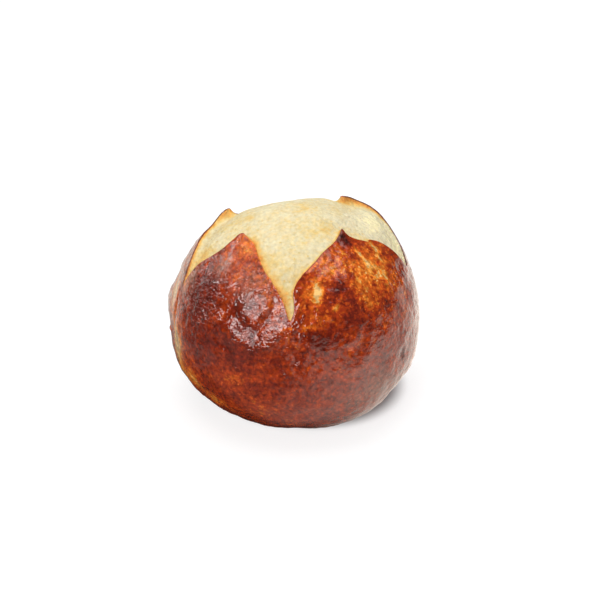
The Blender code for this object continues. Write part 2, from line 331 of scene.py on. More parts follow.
def nearest(points, targets):
    """For each point, the number of the nearest target and how far it is."""
    tree = kdtree.KDTree(len(targets))
    for number, target in enumerate(targets):
        tree.insert(target, number)
    tree.balance()
    found = [tree.find(point)[1:] for point in points.reshape(-1, 3)]
    numbers, apart = zip(*found)
    return np.array(numbers).reshape(points.shape[:-1]), np.array(apart).reshape(points.shape[:-1])


def ridges_at(polar, azimuth):
    """Height of the ridges that run down the petals from their tips."""
    total = np.zeros(polar.shape)
    distance = profile_radius(polar) * np.sin(polar)
    for petal in PETALS.values():
        start = angles_of(tip_of(petal))[0]
        below = polar - start
        turned = azimuth - math.radians(petal.azimuth) - petal.sweep * below
        apart = np.abs(np.angle(np.exp(1j * turned))) * distance
        fade = np.clip(1 - below / (math.radians(RIDGE_REACH) - start), 0.0, 1.0)
        apart = np.hypot(apart, RIDGE_ROUNDING) - RIDGE_ROUNDING
        total += petal.ridge * np.exp(-apart / RIDGE_WIDTH) * fade
    return total


def rim_heights(points, lips):
    """The crust's height over the loaf's form next to a torn edge, at points of the turned form."""
    total = lips
    for petal in PETALS.values():
        tip = turned_form(*angles_of(tip_of(petal)))
        total = total + round_bump(points, tip, petal.curl_width, petal.curl)
    return total


# Fine relief of the crust
WRINKLES = (Lumps(5.5 * MM, 0.18 * MM), Lumps(2.6 * MM, 0.12 * MM))
CREASES = Lumps(9.0 * MM, 0.22 * MM)
BLISTER_COUNT = 520
BLISTER_RADIUS = (0.5 * MM, 1.3 * MM)
BLISTER_HEIGHT = (0.05 * MM, 0.16 * MM)
BLISTER_COSINES = (-0.35, 0.9)  # of the lowest and the highest blister's polar angles
RIM_FADE = 1.2 * MM  # the relief fades towards the rim over this distance
RIM_RELIEF = 0.15  # the share of it that is left at the rim
BASE_FADE_RADIANS = 0.12  # it fades out towards the base over this angle
# A raised island of skin stands on a hill, with a groove and then a fold round its lower side. Numbers
# without a unit are shares of the island's size, or of the fold's.
Bump = namedtuple("Bump", "azimuth polar across down height")
ISLAND = Bump(-112.0, 52.5, 4.5 * MM, 6.8 * MM, 0.55 * MM)
ISLAND_REACH = 0.95
ISLAND_EDGE = 0.12
ISLAND_UNEVEN = (Lumps(4.0 * MM, 0.30), Lumps(1.8 * MM, 0.12))
GROOVE_PLACE = 1.22
GROOVE_WIDTH = 0.22
GROOVE_DEPTH = 0.50 * MM
GROOVE_START = (0.1, 0.8)  # it deepens between these levels below the middle,
GROOVE_TILT = 0.5  # which rise to the right with this slope
HILL_HEIGHT = 0.65 * MM
HILL_RISE = (-8.5 * MM, -3.2 * MM)  # it is steep at the left
HILL_FALL = (-2.0 * MM, 12.0 * MM)  # and falls slowly to the right
HILL_DOWN = 8.0 * MM
FOLD = Bump(-112.0, 52.5, 11.5 * MM, 12.7 * MM, 0.85 * MM)
FOLD_WIDTH = 0.25
FOLD_START = (0.3, 0.7)  # it rises between these levels below the middle
FOLD_UNEVEN = 0.4  # it follows the island's unevenness by this share
# Small raised or sunken places
SCALES = table(Bump, "across down height", (
    (-174, 67, 2, 2.6, 0.5),
    (-173, 74, 3, 2.6, 0.5),
    (-172, 84.5, 1.6, 0.9, 0.6),
    (-157, 77, 2, 3.5, 0.5),
    (-163, 68, 0.9, 6, -0.7),
    (-150, 70, 1.1, 3, -0.4),
    (-35, 84, 1.1, 1.4, -0.5),
    (-55, 85, 2.6, 0.7, -0.4),
    (-64.8, 44.5, 0.7, 0.7, 0.35),
    (-38, 70, 0.7, 0.9, 0.35),
))


def local(polar, azimuth, place):
    """How far points lie across and down from a place on the loaf, along its surface."""
    polar_there = math.radians(place.polar)
    reach = float(profile_radius(np.array(polar_there)))
    turned = np.angle(np.exp(1j * (azimuth - math.radians(place.azimuth))))
    return turned * reach * math.sin(polar_there), (polar - polar_there) * reach


def ridged(points, lumps):
    """Noise with sharp crests: 0 on average and lumps.height high at a crest."""
    return lumps.height * (0.5 - 2 * np.abs(noise_at(points, Lumps(lumps.wavelength, 1.0))))


def bell(across, down, place):
    """1 in the middle of a place, falling smoothly over its size."""
    return np.exp(-((across / place.across) ** 2) - (down / place.down) ** 2)


def ring(size, middle, width):
    """1 where the size is that of the middle of a ring, falling smoothly over its width."""
    return np.exp(-(((size - middle) / width) ** 2))


def island_at(polar, azimuth):
    form = turned_form(polar, azimuth)
    uneven = sum(noise_at(form, lumps) for lumps in ISLAND_UNEVEN)
    across, down = local(polar, azimuth, ISLAND)
    size = np.hypot(across / ISLAND.across, down / ISLAND.down) + uneven
    total = ISLAND.height / (1 + np.exp((size - ISLAND_REACH) / ISLAND_EDGE))
    start, full = (level * ISLAND.down for level in GROOVE_START)
    lower = smooth_step(start, full, down + GROOVE_TILT * across)
    total -= GROOVE_DEPTH * ring(size, GROOVE_PLACE, GROOVE_WIDTH) * lower
    rise = smooth_step(*HILL_RISE, across) * (1 - smooth_step(*HILL_FALL, across))
    total += HILL_HEIGHT * rise * np.exp(-((down / HILL_DOWN) ** 2))
    size = np.hypot(across / FOLD.across, down / FOLD.down) + FOLD_UNEVEN * uneven
    start, full = (level * FOLD.down for level in FOLD_START)
    return total + FOLD.height * ring(size, 1.0, FOLD_WIDTH) * smooth_step(start, full, down)


def scales_at(polar, azimuth):
    total = np.zeros(polar.shape)
    for scale in SCALES:
        total += scale.height * bell(*local(polar, azimuth, scale), scale)
    return total


def blisters_at(points, rng):
    total = np.zeros(points.shape[:-1])
    for _ in range(BLISTER_COUNT):
        turn = rng.uniform(0, 2 * math.pi)
        polar = math.acos(rng.uniform(*BLISTER_COSINES))
        centre = turned_form(np.array(polar), np.array(turn))
        radius = rng.uniform(*BLISTER_RADIUS)
        total += round_bump(points, centre, radius, rng.uniform(*BLISTER_HEIGHT))
    return total


def crust_relief(points, polar, azimuth, rng):
    total = ridged(points, CREASES)
    for lumps in WRINKLES:
        total += ridged(points, lumps)
    return total + island_at(polar, azimuth) + scales_at(polar, azimuth) + blisters_at(points, rng)


# How dark the crust is baked: 0 is pale, 1 is nearly black. Each patch adds its change to that, in full in
# its middle and less and less over its size. A few patches at the far left lighten it partly as a painted
# sheen.
BAKE = 0.54
UNDERSIDE_BAKE = 0.30
Patch = namedtuple("Patch", "azimuth polar across down change")
BAKE_PATCHES = table(Patch, "across down", (
    (-57, 44, 14, 12, -0.13),
    (-36, 40, 10, 9, -0.17),
    (-83, 54, 6, 4, -0.12),
    (-79.4, 46.4, 1.8, 2.8, -0.72),
    (-70.4, 52.9, 1.2, 1.1, -0.45),
    (-67, 45.5, 4.6, 3.4, 0.34),
    (-74, 51, 2, 2.6, 0.24),
    (-60, 51, 2, 2.5, 0.16),
    (-80, 66, 6.5, 3, 0.24),
    (-63.5, 59, 6, 4.5, 0.2),
    (-86, 60.5, 3.2, 0.9, -0.3),
    (-89.4, 67, 4, 2.4, -0.18),
    (-146.3, 55, 9, 11, 0.26),
    (-143.7, 78.6, 8, 8, 0.14),
    (-134.6, 30, 4.5, 4.5, -0.19),
    (-125, 44.5, 2.6, 7, -0.1),
    (-113, 55, 8, 10, 0.12),
    (-122, 55, 2, 7, 0.16),
    (-126, 76, 8, 7, 0.12),
    (-110, 67, 10, 4.5, 0.06),
    (-119, 87, 4, 5, -0.1),
    (-147, 99.5, 6, 4.5, -0.32),
    (-133.4, 105, 4, 3, -0.25),
    # lightens the far left low: partly paler crust, partly painted sheen
    (-159, 84, 4.6, 9, -0.66),
    (-158.5, 57.7, 1.5, 3, -0.3),
    # lightens the flaps at the far left: partly paler crust, partly painted sheen
    (-169, 67, 2.4, 5.5, -0.48),
    (-93.7, 88, 22, 12, 0.06),
    (-50, 94, 14, 12, 0.14),
    (-34.6, 84, 1.5, 2, 0.3),
    (-44, 25, 1.7, 5, 0.55),
    (-24, 35, 1.2, 3.2, -0.45),
    (-27, 41.5, 0.8, 3, -0.35),
    (-33, 47, 0.8, 2.5, -0.3),
    (-41, 33.5, 1.2, 2.6, -0.22),
    (-40, 39, 1.3, 3, -0.24),
    (-37, 45, 1.2, 2.5, -0.2),
    (-71, 34, 4, 7, -0.16),
    (-129, 30, 2.2, 3, -0.14),
    (-105, 73, 9, 3.5, 0.05),
    (-100, 55, 3.5, 6, -0.06),
    (-113, 41, 5, 5, -0.09),
    (-104, 44, 4, 6, -0.12),
    # lightens the flaps at the far left: partly paler crust, partly painted sheen
    (-172, 62, 3, 6, -0.3),
    (-83, 71, 12, 5, 0.1),
    (-90, 62, 5, 3.5, 0.12),
))
# Where the crust is mottled with amber
AMBER = 0.25
AMBER_PATCHES = table(Patch, "across down", (
    (-57, 46, 18, 15, 0.75),
    (-25, 50, 10, 10, 0.35),
    (-89, 64, 8, 7, 0.4),
    (-146, 60, 12, 14, -0.15),
    (-93, 95, 25, 10, -0.1),
))
# Round the back, which isn't seen from the front, patches are drawn at random
UNSEEN_PATCHES = 46
UNSEEN_AZIMUTHS = (10.0, 165.0)
UNSEEN_COSINES = (-0.3, 0.75)  # of the lowest and the highest patch's polar angles
UNSEEN_ACROSS = (1.5 * MM, 9.0 * MM)
UNSEEN_STRETCH = (0.6, 1.6)
UNSEEN_CHANGE = (-0.28, 0.26)
UNDERSIDE = (118.0, 140.0)  # the crust turns dull and evenly baked between these polar angles
PATCH_WARP = Lumps(4.0 * MM, 1.3 * MM)
RIM_LINE = 0.28 * MM
STREAK_SHORTENING = 0.4  # the streaks are longer down the loaf than across by one over this
FOLD_SHORTENING = 0.4  # the puckers are longer across the loaf than down by one over this
# Where the crust is duller
MATT_PATCHES = table(Patch, "across down", (
    (-138, 28, 6, 6.5, 0.6),
    (-48, 100, 17, 13, 0.8),
    (-22, 80, 8, 18, 0.4),
    (-71, 33, 5, 7, 0.4),
    (-128, 42, 3, 7, 0.5),
))
# Where the crust is paler and greyer: partly paler crust, partly a painted sheen that stands in for grazing
# reflections of the bright surroundings
PALE_SHEEN_COLOUR = (0.52, 0.31, 0.20, 1.0)
PALE_SHEEN_PATCHES = table(Patch, "across down", (
    (-172, 60, 5, 14, 0.7),
    (-158, 83, 4.5, 8, 0.4),
    (-158, 54, 3, 6, 0.5),
    (-118, 44, 4, 6, 0.24),
    (-107, 43, 3.5, 6, 0.18),
    (-141, 41, 4, 4, 0.4),
    (-50, 96, 13, 9, 0.3),
))
# Where the crust is finely puckered
PUCKER = 0.25
PUCKER_MOST = 1.8
PUCKER_PATCHES = table(Patch, "across down", (
    (-148, 57, 10, 14, 1.1),
    (-113, 54, 6, 9, 1.2),
    (-110, 66, 9, 4.5, 1.5),
    (-98, 75, 10, 4, -0.6),
    (-138, 28, 6, 6, -0.45),
    (-120.5, 54, 2.4, 6, -1.2),
    (-99, 56, 3.5, 6, 1.4),
    (-104, 44, 4, 6, 0.8),
    (-142, 48, 8, 6, 0.6),
    (-115, 42, 5, 6, 0.9),
    (-136, 72, 5, 6, -0.3),
    (-139, 62, 4.5, 7, 1.5),
    (-110, 43, 4, 4, 0.8),
    (-140, 78, 9, 8, 0.05),
    (-60, 48, 14, 12, 0.1),
    (-118, 43, 5, 5, 0.7),
    (-40, 85, 14, 14, -0.15),
))


def warped(points, lumps):
    """The points, each moved a little by noise."""
    shifts = [noise_at(points + k * GIRTH_RADIUS, lumps) for k in (1, 2, 3)]
    return points + np.stack(shifts, axis=-1)


def patches_at(polar, azimuth, patches):
    """The sum of what the patches add at each place."""
    total = np.zeros(polar.shape)
    for patch in patches:
        total += patch.change * bell(*local(polar, azimuth, patch), patch)
    return total


def unseen_patches(rng):
    made = []
    for _ in range(UNSEEN_PATCHES):
        azimuth = rng.uniform(*UNSEEN_AZIMUTHS)
        polar = math.degrees(math.acos(rng.uniform(*UNSEEN_COSINES)))
        across = rng.uniform(*UNSEEN_ACROSS)
        down = across * rng.uniform(*UNSEEN_STRETCH)
        made.append(Patch(azimuth, polar, across, down, rng.uniform(*UNSEEN_CHANGE)))
    return made


def circular_blend(values, width):
    """Values along the outline, averaged over a window of that many points."""
    window = np.hanning(width + 2)[1:-1]
    padded = np.concatenate([values[-width:], values, values[:width]])
    return np.convolve(padded, window / window.sum(), mode="same")[width:-width]


class Star:
    """The star's outline with what is known along it."""

    def __init__(self):
        self.plan, self.lips, self.toast, self.edge = star_outline()
        self.polar, self.azimuth = angles_of(self.plan)
        self.points = turned_form(self.polar, self.azimuth)
        self.burn = circular_blend(np.array([EDGES[i].burn for i in self.edge]), BURN_BLEND * FINER)


def crust_offset(polar, azimuth, star):
    """The crust's height over the loaf's form, with its rounded rim, and the distance to the star's
    outline and the number of its nearest point.
    """
    points = turned_form(polar, azimuth)
    index, gap = nearest(points, star.points)
    total = star.lips[index] * np.exp(-gap / LIP_WIDTH)
    total = rim_heights(points, total) + ridges_at(polar, azimuth)
    inside = np.clip(RIM_ROUNDING - gap, 0.0, RIM_ROUNDING)
    return total - (RIM_ROUNDING - np.sqrt(RIM_ROUNDING**2 - inside**2)), gap, index


def base_polar():
    """The polar angle of the base's edge."""
    return math.pi - math.atan2(BASE_RADIUS - BASE_INSET, GIRTH_HEIGHT)


def crust_angles(star):
    """Polar angles and azimuths of the crust's rings, from the rim to the base."""
    polar, azimuth = star.polar[::FINER], np.unwrap(star.azimuth[::FINER])
    count = len(polar)
    even = np.arange(count) * 2 * math.pi / count
    even = even + (azimuth - even).mean()
    shares = (np.arange(UPPER_RINGS + 1) / UPPER_RINGS) ** RING_CROWDING
    upper_polar = polar + (math.pi / 2 - polar) * shares[:, None]
    upper_azimuth = azimuth + (even - azimuth) * shares[:, None]
    below = math.pi / 2 + (base_polar() - math.pi / 2) * np.arange(1, LOWER_RINGS + 1) / LOWER_RINGS
    lower_polar = np.repeat(below[:, None], count, axis=1)
    lower_azimuth = np.repeat(even[None], LOWER_RINGS, axis=0)
    return np.concatenate([upper_polar, lower_polar]), np.concatenate([upper_azimuth, lower_azimuth])


def crust_grid(star, rng):
    """Rings of the crust, from the foot of its torn edge over the rim to the middle of the base."""
    polar, azimuth = crust_angles(star)
    offset, gap, index = crust_offset(polar, azimuth, star)
    form = turned_form(polar, azimuth)
    above_base = smooth_step(0.0, BASE_FADE_RADIANS, base_polar() - polar)
    fade = smooth_step(0.0, RIM_FADE, gap) * above_base
    relief = crust_relief(form, polar, azimuth, rng) * (RIM_RELIEF + (1 - RIM_RELIEF) * fade)
    relief = relief * above_base
    rings = loaf_points(polar, azimuth, offset + relief)
    rings[-1][:, 2] = 0.0
    rim = offset[0] + relief[0]
    drops = np.arange(WALL_RINGS, 0, -1) / WALL_RINGS * WALL_DEPTH
    wall = [loaf_points(polar[0], azimuth[0], rim - drop) for drop in drops]
    floor = [rings[-1] * (1 - share) for share in np.arange(1, FLOOR_RINGS + 1) / (FLOOR_RINGS + 1)]
    fields = crust_fields(form, polar, azimuth, gap, index, star, rng)
    for name, values in fields.items():
        before = np.repeat(values[:1], WALL_RINGS, axis=0)
        after = np.repeat(values[-1:], FLOOR_RINGS, axis=0)
        fields[name] = np.concatenate([before, values, after])
    return np.concatenate([wall, rings, floor]), fields


def crust_fields(form, polar, azimuth, gap, index, star, rng):
    """What the crust's material reads at each point."""
    there = angles_at(warped(form, PATCH_WARP))
    under = smooth_step(*np.radians(UNDERSIDE), there[0])
    bake = BAKE + patches_at(*there, BAKE_PATCHES)
    bake = bake + patches_at(*there, unseen_patches(rng))
    circle = np.stack([np.cos(azimuth), np.sin(azimuth)], axis=-1)
    streak_place = np.concatenate([circle, polar[..., None] * STREAK_SHORTENING], axis=-1)
    fold_place = np.concatenate([circle * FOLD_SHORTENING, polar[..., None]], axis=-1)
    return {
        "streak_place": streak_place * GIRTH_RADIUS,
        "fold_place": fold_place * GIRTH_RADIUS,
        "bake": bake + (UNDERSIDE_BAKE - bake) * under,
        "amber": np.clip(AMBER + patches_at(*there, AMBER_PATCHES), 0.0, 1.0),
        "pucker": np.clip(PUCKER + patches_at(*there, PUCKER_PATCHES), 0.0, PUCKER_MOST),
        "rim": np.exp(-((gap / RIM_LINE) ** 2)),
        "burn": star.burn[index],
        # paler, greyer crust, partly painted sheen
        "pale_sheen": np.clip(patches_at(*there, PALE_SHEEN_PATCHES), 0.0, 1.0),
        "matt": under + patches_at(*there, MATT_PATCHES) * (1 - under),
    }


# The crumb
CRUMB_WAVES = (Lumps(9.0 * MM, 0.55 * MM), Lumps(3.2 * MM, 0.16 * MM))
INNER_START = 3.0 * MM  # the waves and the step grow over this distance from the torn edges,
EDGE_WAVES = 0.3  # where this share of the waves is left
MOUTH_STEP = 0.5 * MM  # the dome stands this much above the side arms
MOUTH_WIDTH = 1.6 * MM
MOUTHS = (("front_left", "back_left"), ("front_right", "back_right"))
TOAST_REACH = 1.6  # the toasted colour falls off over this many of the margin's widths,
TOAST_FALL = 1.3  # as a bell curve with this power
FULL_TOAST = 0.45 * MM  # where it falls off over less than this, it is paler too
# Where the crumb is browner, or whiter where the change is negative
CrumbPatch = namedtuple("CrumbPatch", "azimuth distance radius change")
CRUMB_PATCHES = table(CrumbPatch, "distance radius", (
    (-172, 15.5, 1.8, 0.16),
    (-154, 17.5, 1.6, 0.08),
    (-52.4, 14, 2.4, 0.14),
    (-176, 23, 6, 0.09),
    (198.7, 33, 3.5, 0.35),
    (0, 29, 8, -0.16),
    (5, 19, 5, -0.05),
    (14, 24, 6, -0.1),
    (-92, 9, 9, 0.07),
    (95, 5, 8, -0.04),
    (-96, 26, 7, 0.06),
))


def mouth_step(plan):
    """Where the crumb drops from the dome to a side arm."""
    total = np.zeros(plan.shape[:-1])
    for pair in MOUTHS:
        first, second = (tip_of(PETALS[name]) for name in pair)
        along = (second - first) / np.linalg.norm(second - first)
        outward = np.array([along[1], -along[0]])
        if outward @ (first + second) < 0:
            outward = -outward
        beyond = (plan - first) @ outward
        total -= MOUTH_STEP * (0.5 + 0.5 * np.tanh(beyond / MOUTH_WIDTH))
    return total


def toast_at(form, star):
    """How toasted the crumb is next to the torn edges."""
    toast = np.zeros(form.shape[:-1])
    for number, edge in enumerate(EDGES):
        of_edge = star.edge == number
        closest, apart = nearest(form, star.points[of_edge])
        width = TOAST_REACH * star.toast[of_edge][closest]
        brown = edge.brown * smooth_step(0.0, FULL_TOAST, width)
        toast = np.maximum(toast, brown * np.exp(-((apart / width) ** TOAST_FALL)))
    return toast


def crumb_tone(plan):
    """How much browner or whiter the crumb is at points that are given from above."""
    tone = np.zeros(plan.shape[:-1])
    for patch in CRUMB_PATCHES:
        centre = plan_point(patch.azimuth, patch.distance)
        tone += round_bump(plan, centre, patch.radius, patch.change)
    return tone


def crumb_surface(plan, star):
    """Points of the crumb's surface that are given from above, and what its material reads at each."""
    polar, azimuth = angles_of(plan)
    form = turned_form(polar, azimuth)
    index, gap = nearest(form, star.points)
    centre = np.hypot(plan[..., 0], plan[..., 1])
    low = DOME_RISE * np.exp(-((centre / DOME_RADIUS) ** 2)) - CRUMB_SINK * np.exp(-gap / SINK_WIDTH)
    inner = smooth_step(0.0, INNER_START, gap)
    low = low + mouth_step(plan) * inner
    for lumps in CRUMB_WAVES:
        low = low + noise_at(form, lumps) * (EDGE_WAVES + (1 - EDGE_WAVES) * inner)
    rim = rim_heights(form, star.lips[index]) + ridges_at(polar, azimuth) - RIM_ROUNDING
    offset = low + (rim - WALL_SHOWN - low) * np.exp(-gap / FILLET_WIDTH)
    return loaf_points(polar, azimuth, offset), {"toast": toast_at(form, star), "tone": crumb_tone(plan)}


def crumb_grid(star):
    """The crumb's centre point, and its rings from there to the one that is tucked into the crust."""
    outline = star.plan[::FINER]
    shares = 1 - (1 - np.arange(1, CRUMB_RINGS + 1) / CRUMB_RINGS) ** CRUMB_CROWDING
    plan = outline * shares[:, None, None]
    points, fields = crumb_surface(plan, star)
    along = np.roll(outline, -1, axis=0) - np.roll(outline, 1, axis=0)
    outward = np.stack([along[:, 1], -along[:, 0]], axis=-1) / np.linalg.norm(along, axis=1)[:, None]
    tucked = points[-1].copy()
    tucked[:, :2] += outward * TUCK
    tucked[:, 2] -= TUCK
    points = np.concatenate([points, tucked[None]])
    fields = {name: np.concatenate([values, values[-1:]]) for name, values in fields.items()}
    return points, fields


def set_fields(mesh, fields):
    """Attributes of the mesh's points, of which the first and the last are the ends of its fans."""
    for name, values in fields.items():
        is_vector = values.ndim == 3
        attribute = mesh.attributes.new(name, "FLOAT_VECTOR" if is_vector else "FLOAT", "POINT")
        flat = values.reshape(-1, *values.shape[2:])
        flat = np.concatenate([flat[:1], flat, flat[-1:]]).astype(np.float32)
        attribute.data.foreach_set("vector" if is_vector else "value", flat.ravel())


def add_piece(name, rings, first_centre, last_centre, fields):
    """A closed mesh from rings of points, with a fan to a point at each end."""
    count = rings.shape[1]
    vertices = np.concatenate([[first_centre], rings.reshape(-1, 3), [last_centre]]) + AXIS
    grid = 1 + np.arange(len(rings) * count).reshape(len(rings), count)
    across = np.roll(grid, -1, axis=1)
    quads = np.stack([grid[:-1], grid[1:], across[1:], across[:-1]], axis=-1).reshape(-1, 4)
    last = len(vertices) - 1
    fans = [(0, int(a), int(b)) for a, b in zip(grid[0], across[0])]
    fans += [(last, int(b), int(a)) for a, b in zip(grid[-1], across[-1])]
    mesh = bpy.data.meshes.new(name)
    mesh.from_pydata(vertices.tolist(), [], quads.tolist() + fans)
    set_fields(mesh, fields)
    mesh.shade_smooth()
    piece = bpy.data.objects.new(name, mesh)
    bpy.context.scene.collection.objects.link(piece)
    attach(piece, "root")
    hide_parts(NODE)
    return piece


def make_crust(star, rng):
    rings, fields = crust_grid(star, rng)
    hub = np.array([0.0, 0.0, GIRTH_HEIGHT])
    piece = add_piece("roll_crust", rings, hub, np.zeros(3), fields)
    piece.data.materials.append(crust_material())


def make_crumb(star):
    rings, fields = crumb_grid(star)
    top = crumb_surface(np.zeros((1, 2)), star)[0][0]
    hub = np.array([0.0, 0.0, GIRTH_HEIGHT + CRUMB_HUB_RISE])
    piece = add_piece("roll_crumb", rings, top, hub, fields)
    piece.data.materials.append(crumb_material())


# Materials: the colours of the crust from pale to nearly black, and of the crumb from white to burnt
CRUST_TONES = (
    (0.00, (0.86, 0.52, 0.19)),
    (0.13, (0.84, 0.31, 0.040)),
    (0.30, (0.66, 0.130, 0.010)),
    (0.48, (0.39, 0.040, 0.004)),
    (0.70, (0.18, 0.014, 0.004)),
    (1.00, (0.05, 0.007, 0.005)),
)
CRUMB_TONES = (
    (0.00, (0.95, 0.83, 0.49)),
    (0.10, (0.785, 0.70, 0.465)),
    (0.22, (0.77, 0.64, 0.36)),
    (0.36, (0.77, 0.57, 0.22)),
    (0.52, (0.77, 0.44, 0.10)),
    (0.67, (0.74, 0.31, 0.045)),
    (0.84, (0.48, 0.13, 0.018)),
    (1.00, (0.24, 0.050, 0.012)),
)
# Noise around 0 over the surface, or over the places that an attribute gives
Texture = namedtuple("Texture", "wavelength detail roughness distortion place", defaults=(0.5, 0.0, None))
GRAIN = Texture(1.25 * MM, 1.0)
CRUST_TEXTURES = {
    "blotches": Texture(7.0 * MM, 3.0, 0.55),
    "cells": Texture(2.3 * MM, 2.5, 0.6, 0.5),
    "streaks": Texture(2.2 * MM, 2.0, 0.6, 0.5, "streak_place"),
    "grit": Texture(1.3 * MM, 1.5),
    "flecks": Texture(1.3 * MM, 1.0),
    "folds": Texture(3.2 * MM, 1.0, 0.5, 1.0),
    "pebbles": Texture(1.5 * MM, 1.0),
    "crimps": Texture(1.3 * MM, 1.0, 0.5, 0.6, "fold_place"),
    "fine": Texture(1.05 * MM, 1.0),
}
NET_WEIGHTS = {"cells": 0.85, "streaks": 0.35}
TONE_WEIGHTS = {"bake": 1.0, "blotches": 0.5, "net": 0.30, "mottle": 0.8, "grit": 0.4}
FLECK_RANGE = (0.10, 0.21)  # the light flecks stand where their noise passes these
FLECK_STRENGTH = 0.15
FLECK_AMBER = 0.14  # they are stronger by this where the crust is amber
PALE_SHEEN_STREAKS = (-0.2, 0.1)  # between these values of the streaks
PALE_SHEEN_SHARES = (0.3, 1.0)  # the paler crust and painted sheen go from one of these shares to the other
CRUST_GRAIN = 1.8
CRUST_ROUGHNESS = 0.11
ROUGHNESS_WEIGHTS = {"blotches": 0.2, "grit": 0.2, "matt": 0.3}
PUCKER_WEIGHTS = {"pebbles": 0.5, "crimps": 0.9}
CRUST_HEIGHT_WEIGHTS = {"creases": 0.55, "pebbles": 0.25, "puckers": 1.3, "fine": 0.12}
CRUST_BUMP = 0.5 * MM
CRUST_SOCKETS = {"IOR": 1.46, "Coat Weight": 0.3, "Coat Roughness": 0.05}
CRUMB_TEXTURES = {
    "clouds": Texture(8.0 * MM, 3.0, 0.55),
    "grain": Texture(1.5 * MM, 1.5, 0.6),
    "fuzz": Texture(1.2 * MM, 1.0),
}
PORE_SPACING = 1.5 * MM
PORE_SIZE = 0.34  # a share of the spacing
PORE_CORE = 0.4  # a share of the size
PORES_KEPT = 0.40
TOAST_CLOUDS = 0.8
CRUMB_TONE = 0.20
# The pores' weight makes the crumb darker in its pores: painted shade in their hollows.
CRUMB_TONE_WEIGHTS = {"uneven": 0.9, "tone": 1.0, "clouds": 0.55, "grain": 0.35, "pores": 0.15}
CRUMB_GRAIN = 0.40
CRUMB_HEIGHT_WEIGHTS = {"grain": 1.0, "fuzz": 0.8, "pores": -0.3}
CRUMB_BUMP = 0.55 * MM
CRUMB_SOCKETS = {
    "Roughness": 0.8,
    "Subsurface Weight": 0.12,
    "Subsurface Radius": (1.0, 0.6, 0.3),
    "Subsurface Scale": 1.5 * MM,
}


def add_node(tree, kind, inputs, **settings):
    """A shader node with its settings, and its inputs set to a value or joined to another node's output."""
    made = tree.nodes.new("ShaderNode" + kind)
    for name, value in settings.items():
        setattr(made, name, value)
    for name, value in inputs.items():
        if isinstance(value, bpy.types.NodeSocket):
            tree.links.new(value, made.inputs[name])
        else:
            made.inputs[name].default_value = value
    return made


def attribute(tree, name, output="Fac"):
    return add_node(tree, "Attribute", {}, attribute_name=name).outputs[output]


def object_place(tree):
    return add_node(tree, "TexCoord", {}).outputs["Object"]


def calculate(tree, operation, first, second=0.0):
    return add_node(tree, "Math", {0: first, 1: second}, operation=operation).outputs[0]


def times(tree, first, second):
    return calculate(tree, "MULTIPLY", first, second)


def plus(tree, first, second):
    return calculate(tree, "ADD", first, second)


def add_up(tree, parts, weights):
    """The sum of the named parts, each times its weight."""
    total = None
    for name, weight in weights.items():
        part = times(tree, parts[name], weight)
        total = part if total is None else plus(tree, total, part)
    return total


def remap(tree, value, low, high, to_low=0.0, to_high=1.0):
    """The value, going smoothly from to_low where it is low to to_high where it is high."""
    inputs = {"Value": value, "From Min": low, "From Max": high, "To Min": to_low, "To Max": to_high}
    return add_node(tree, "MapRange", inputs, interpolation_type="SMOOTHSTEP").outputs["Result"]


def mixed(tree, share, first, second):
    """The first colour, and this share of the second."""
    return add_node(tree, "Mix", {0: share, 6: first, 7: second}, data_type="RGBA").outputs[2]


def noise_of(tree, texture):
    inputs = {
        "Vector": attribute(tree, texture.place, "Vector") if texture.place else object_place(tree),
        "Scale": 1.0 / texture.wavelength,
        "Detail": texture.detail,
        "Roughness": texture.roughness,
        "Distortion": texture.distortion,
    }
    return calculate(tree, "SUBTRACT", add_node(tree, "TexNoise", inputs).outputs["Fac"], 0.5)


def tone_ramp(tree, value, tones):
    """The colour of this value, from pairs of a value and a colour."""
    ramp = add_node(tree, "ValToRGB", {"Fac": value})
    elements = ramp.color_ramp.elements
    for position, _ in tones[1:-1]:
        elements.new(position)
    for element, (position, colour) in zip(elements, tones):
        element.position = position
        element.color = (*colour, 1.0)
    return ramp.outputs["Color"]


def new_material(name, sockets):
    """A material with these values on its shader's sockets, its node tree and its shader."""
    made = bpy.data.materials.new(name)
    made.use_nodes = True
    shader = made.node_tree.nodes["Principled BSDF"]
    for socket, value in sockets.items():
        shader.inputs[socket].default_value = value
    return made, made.node_tree, shader


def add_bump(tree, shader, height, distance):
    bump = add_node(tree, "Bump", {"Strength": 1.0, "Distance": distance, "Height": height})
    tree.links.new(bump.outputs["Normal"], shader.inputs["Normal"])


def grained(tree, colour, strength):
    """The colour with fine grains that are lighter and darker."""
    grains = times(tree, noise_of(tree, GRAIN), strength)
    inputs = {0: colour, "Scale": plus(tree, grains, 1.0)}
    return add_node(tree, "VectorMath", inputs, operation="SCALE").outputs[0]


def crust_tone(tree, parts):
    """How dark each place of the crust is."""
    amber = attribute(tree, "amber")
    net = add_up(tree, parts, NET_WEIGHTS)
    mottle = times(tree, net, amber)
    more = {"bake": attribute(tree, "bake"), "net": net, "mottle": mottle}
    tone = add_up(tree, {**parts, **more}, TONE_WEIGHTS)
    strength = plus(tree, times(tree, amber, FLECK_AMBER), FLECK_STRENGTH)
    flecks = times(tree, remap(tree, parts["flecks"], *FLECK_RANGE), strength)
    tone = calculate(tree, "SUBTRACT", tone, flecks)
    change = calculate(tree, "SUBTRACT", attribute(tree, "burn"), tone)
    return plus(tree, tone, times(tree, change, attribute(tree, "rim")))


def crust_height(tree, parts):
    """Height of the relief that is finer than the mesh."""
    creases = calculate(tree, "ABSOLUTE", parts["folds"])
    puckers = add_up(tree, parts, PUCKER_WEIGHTS)
    puckers = times(tree, puckers, attribute(tree, "pucker"))
    return add_up(tree, {**parts, "creases": creases, "puckers": puckers}, CRUST_HEIGHT_WEIGHTS)


